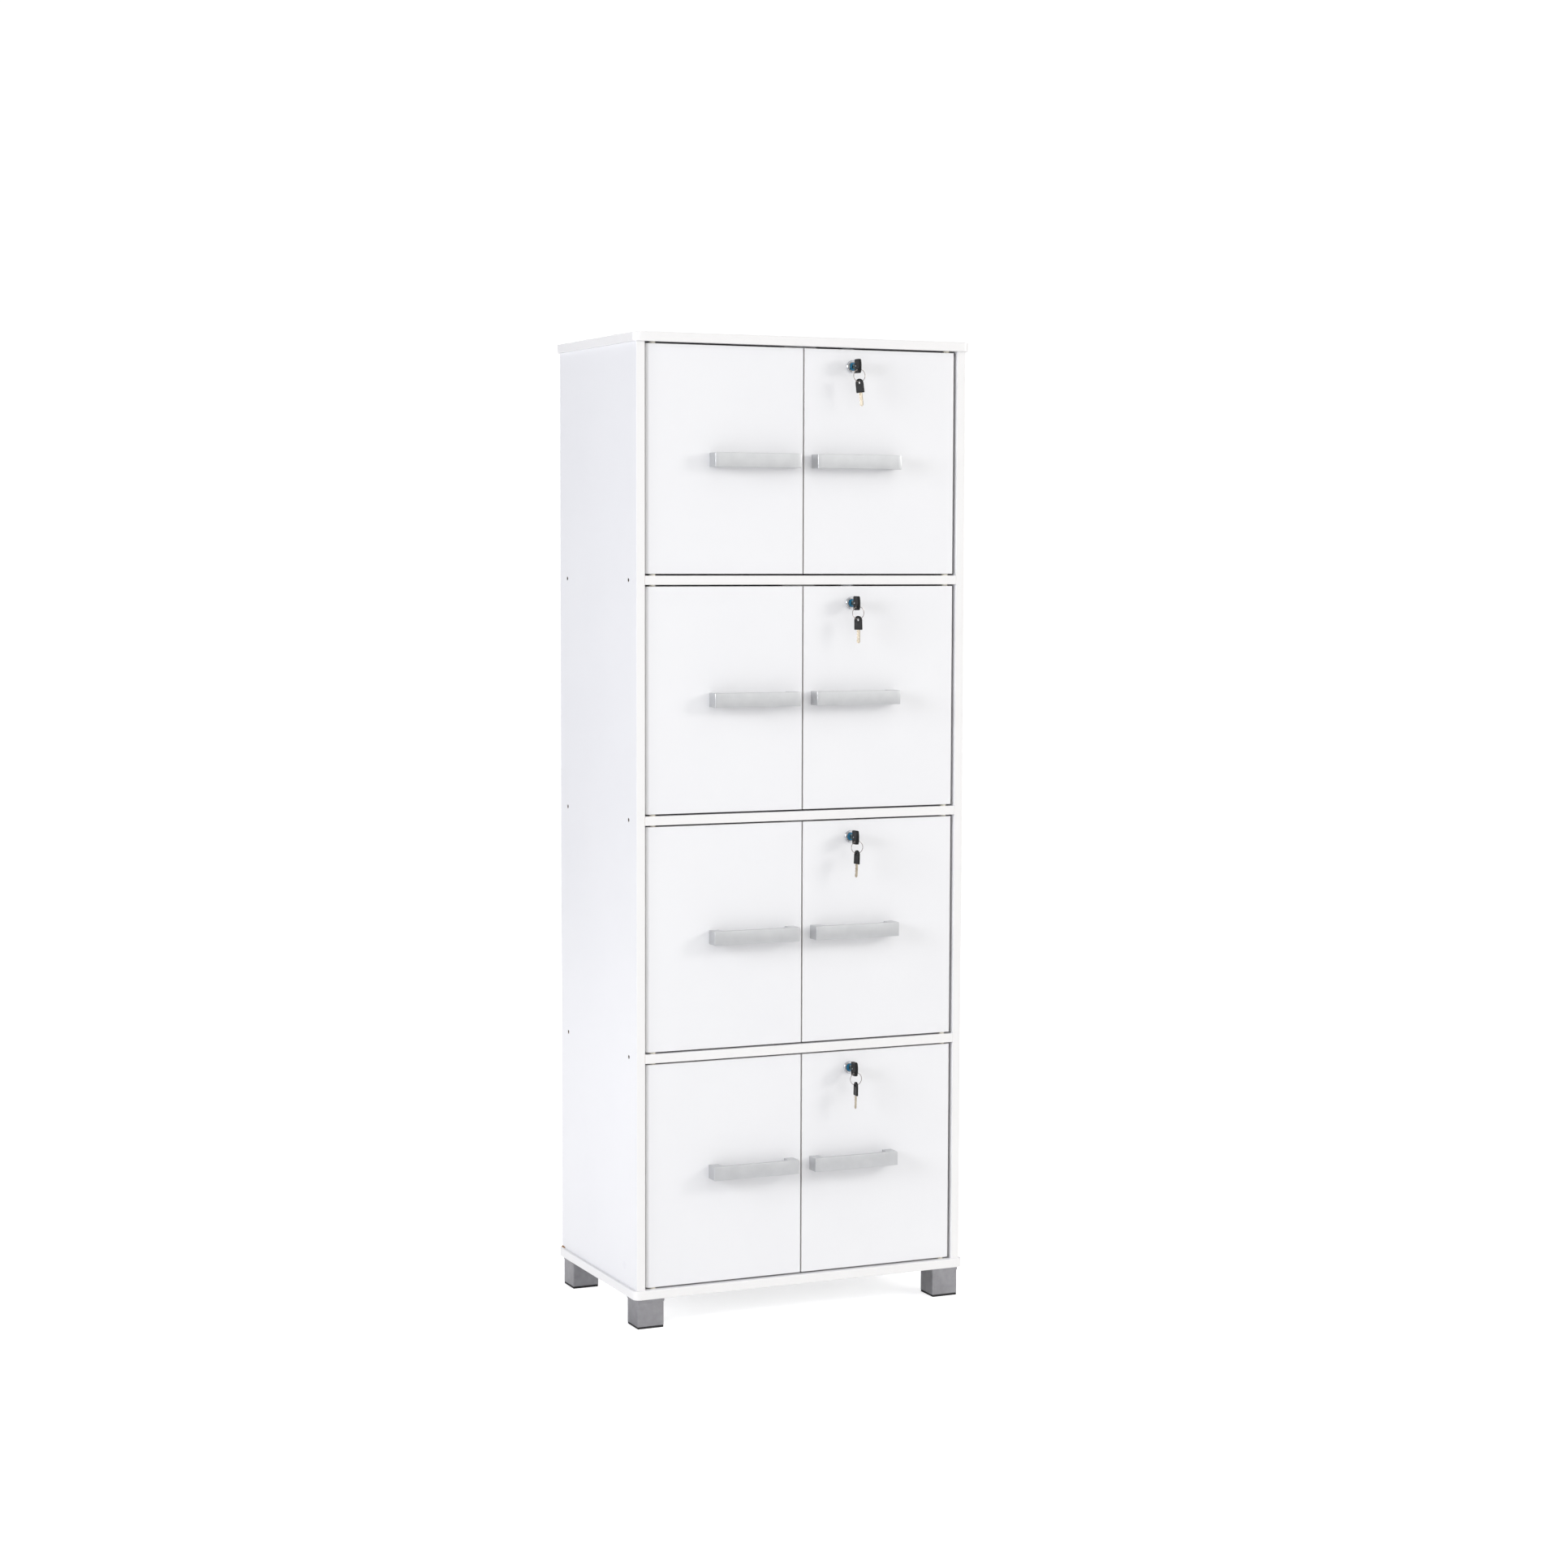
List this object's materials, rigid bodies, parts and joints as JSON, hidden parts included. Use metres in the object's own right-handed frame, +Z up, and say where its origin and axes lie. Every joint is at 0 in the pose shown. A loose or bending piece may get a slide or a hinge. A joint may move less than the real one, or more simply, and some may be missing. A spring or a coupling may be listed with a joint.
{
  "type": "parcel locker",
  "caption": "Tall white board locker cabinet: tiers of hinged doors with bow handles, cam locks with keys on rings, shelves inside, and block feet.",
  "frame": {"origin": "on the floor, under the middle of the box that holds the whole object with its doors shut and keys in", "axes": "+X to the right seen from the front, +Y from the doors to the back, +Z up"},
  "size_m": [0.652, 0.4192, 1.75],
  "materials": {
    "white_board": "white melamine, fine satin",
    "back_board": "white lacquered hardboard",
    "foot_silver": "silver-grey paint, satin",
    "foot_black": "matt black",
    "brown_screw": "brown burnished",
    "zinc": "bright zinc",
    "nylon": "ivory nylon",
    "catch_plastic": "white moulded plastic",
    "handle_silver": "fine satin",
    "steel": "plated",
    "chrome": "polished",
    "lock_blue": "blue gloss dust shutter",
    "key_black": "moulded black"
  },
  "bodies": {
    "carcass": {"top_board": "white_board", "bottom_board": "white_board", "left_side_panel": "white_board", "right_side_panel": "white_board", "upper_shelf": "white_board", "middle_shelf": "white_board", "lower_shelf": "white_board", "back_panel": "back_board", "feet": "foot_silver", "foot_pads": "foot_black", "panel_screws": "brown_screw", "board_connectors": "zinc", "wood_screws": "zinc", "pivot_bushes": "nylon", "magnetic_catches": "catch_plastic", "lock_strikes": "zinc"},
    "left_door_1": {"left_door_1": "white_board", "left_handle_1": "handle_silver", "left_fittings_1": "steel"},
    "left_door_2": {"left_door_2": "white_board", "left_handle_2": "handle_silver", "left_fittings_2": "steel"},
    "left_door_3": {"left_door_3": "white_board", "left_handle_3": "handle_silver", "left_fittings_3": "steel"},
    "left_door_4": {"left_door_4": "white_board", "left_handle_4": "handle_silver", "left_fittings_4": "steel"},
    "right_door_1": {"right_door_1": "white_board", "right_handle_1": "handle_silver", "right_fittings_1": "steel", "lock_body_1": "chrome"},
    "right_door_2": {"right_door_2": "white_board", "right_handle_2": "handle_silver", "right_fittings_2": "steel", "lock_body_2": "chrome"},
    "right_door_3": {"right_door_3": "white_board", "right_handle_3": "handle_silver", "right_fittings_3": "steel", "lock_body_3": "chrome"},
    "right_door_4": {"right_door_4": "white_board", "right_handle_4": "handle_silver", "right_fittings_4": "steel", "lock_body_4": "chrome"},
    "lock_plug_1": {"lock_plug_1": "lock_blue", "lock_cam_1": "zinc"},
    "key_1": {"key_1": "key_black"},
    "spare_key_1": {"spare_key_1": "key_black"},
    "lock_plug_2": {"lock_plug_2": "lock_blue", "lock_cam_2": "zinc"},
    "key_2": {"key_2": "key_black"},
    "spare_key_2": {"spare_key_2": "key_black"},
    "lock_plug_3": {"lock_plug_3": "lock_blue", "lock_cam_3": "zinc"},
    "key_3": {"key_3": "key_black"},
    "spare_key_3": {"spare_key_3": "key_black"},
    "lock_plug_4": {"lock_plug_4": "lock_blue", "lock_cam_4": "zinc"},
    "key_4": {"key_4": "key_black"},
    "spare_key_4": {"spare_key_4": "key_black"}
  },
  "joints": [
    {"name": "left_door_hinge_1", "type": "hinge", "parent": "carcass", "child": "left_door_1", "pos_m": [-0.286, -0.16488, 1.532], "axis": [0, 0, -1], "range_deg": [0, 110]},
    {"name": "left_door_hinge_2", "type": "hinge", "parent": "carcass", "child": "left_door_2", "pos_m": [-0.286, -0.16488, 1.112], "axis": [0, 0, -1], "range_deg": [0, 110]},
    {"name": "left_door_hinge_3", "type": "hinge", "parent": "carcass", "child": "left_door_3", "pos_m": [-0.286, -0.16488, 0.692], "axis": [0, 0, -1], "range_deg": [0, 110]},
    {"name": "left_door_hinge_4", "type": "hinge", "parent": "carcass", "child": "left_door_4", "pos_m": [-0.286, -0.16488, 0.272], "axis": [0, 0, -1], "range_deg": [0, 110]},
    {"name": "right_door_hinge_1", "type": "hinge", "parent": "carcass", "child": "right_door_1", "pos_m": [0.286, -0.16488, 1.532], "axis": [0, 0, 1], "range_deg": [0, 110]},
    {"name": "right_door_hinge_2", "type": "hinge", "parent": "carcass", "child": "right_door_2", "pos_m": [0.286, -0.16488, 1.112], "axis": [0, 0, 1], "range_deg": [0, 110]},
    {"name": "right_door_hinge_3", "type": "hinge", "parent": "carcass", "child": "right_door_3", "pos_m": [0.286, -0.16488, 0.692], "axis": [0, 0, 1], "range_deg": [0, 110]},
    {"name": "right_door_hinge_4", "type": "hinge", "parent": "carcass", "child": "right_door_4", "pos_m": [0.286, -0.16488, 0.272], "axis": [0, 0, 1], "range_deg": [0, 110]},
    {"name": "lock_turn_1", "type": "hinge", "parent": "right_door_1", "child": "lock_plug_1", "pos_m": [0.095, -0.17288, 1.701], "axis": [0, 1, 0], "range_deg": [0, 90]},
    {"name": "key_pull_1", "type": "slide", "parent": "lock_plug_1", "child": "key_1", "axis": [0, -1, 0], "range_m": [0, 0.022]},
    {"name": "spare_key_swing_1", "type": "hinge", "parent": "key_1", "child": "spare_key_1", "pos_m": [0.095, -0.20148, 1.695], "axis": [-1, 0, 0], "range_deg": [-12, 75]},
    {"name": "lock_turn_2", "type": "hinge", "parent": "right_door_2", "child": "lock_plug_2", "pos_m": [0.095, -0.17288, 1.281], "axis": [0, 1, 0], "range_deg": [0, 90]},
    {"name": "key_pull_2", "type": "slide", "parent": "lock_plug_2", "child": "key_2", "axis": [0, -1, 0], "range_m": [0, 0.022]},
    {"name": "spare_key_swing_2", "type": "hinge", "parent": "key_2", "child": "spare_key_2", "pos_m": [0.095, -0.20148, 1.275], "axis": [-1, 0, 0], "range_deg": [-12, 75]},
    {"name": "lock_turn_3", "type": "hinge", "parent": "right_door_3", "child": "lock_plug_3", "pos_m": [0.095, -0.17288, 0.861], "axis": [0, 1, 0], "range_deg": [0, 90]},
    {"name": "key_pull_3", "type": "slide", "parent": "lock_plug_3", "child": "key_3", "axis": [0, -1, 0], "range_m": [0, 0.022]},
    {"name": "spare_key_swing_3", "type": "hinge", "parent": "key_3", "child": "spare_key_3", "pos_m": [0.095, -0.20148, 0.855], "axis": [-1, 0, 0], "range_deg": [-12, 75]},
    {"name": "lock_turn_4", "type": "hinge", "parent": "right_door_4", "child": "lock_plug_4", "pos_m": [0.095, -0.17288, 0.441], "axis": [0, 1, 0], "range_deg": [0, 90]},
    {"name": "key_pull_4", "type": "slide", "parent": "lock_plug_4", "child": "key_4", "axis": [0, -1, 0], "range_m": [0, 0.022]},
    {"name": "spare_key_swing_4", "type": "hinge", "parent": "key_4", "child": "spare_key_4", "pos_m": [0.095, -0.20148, 0.435], "axis": [-1, 0, 0], "range_deg": [-12, 75]}
  ]
}
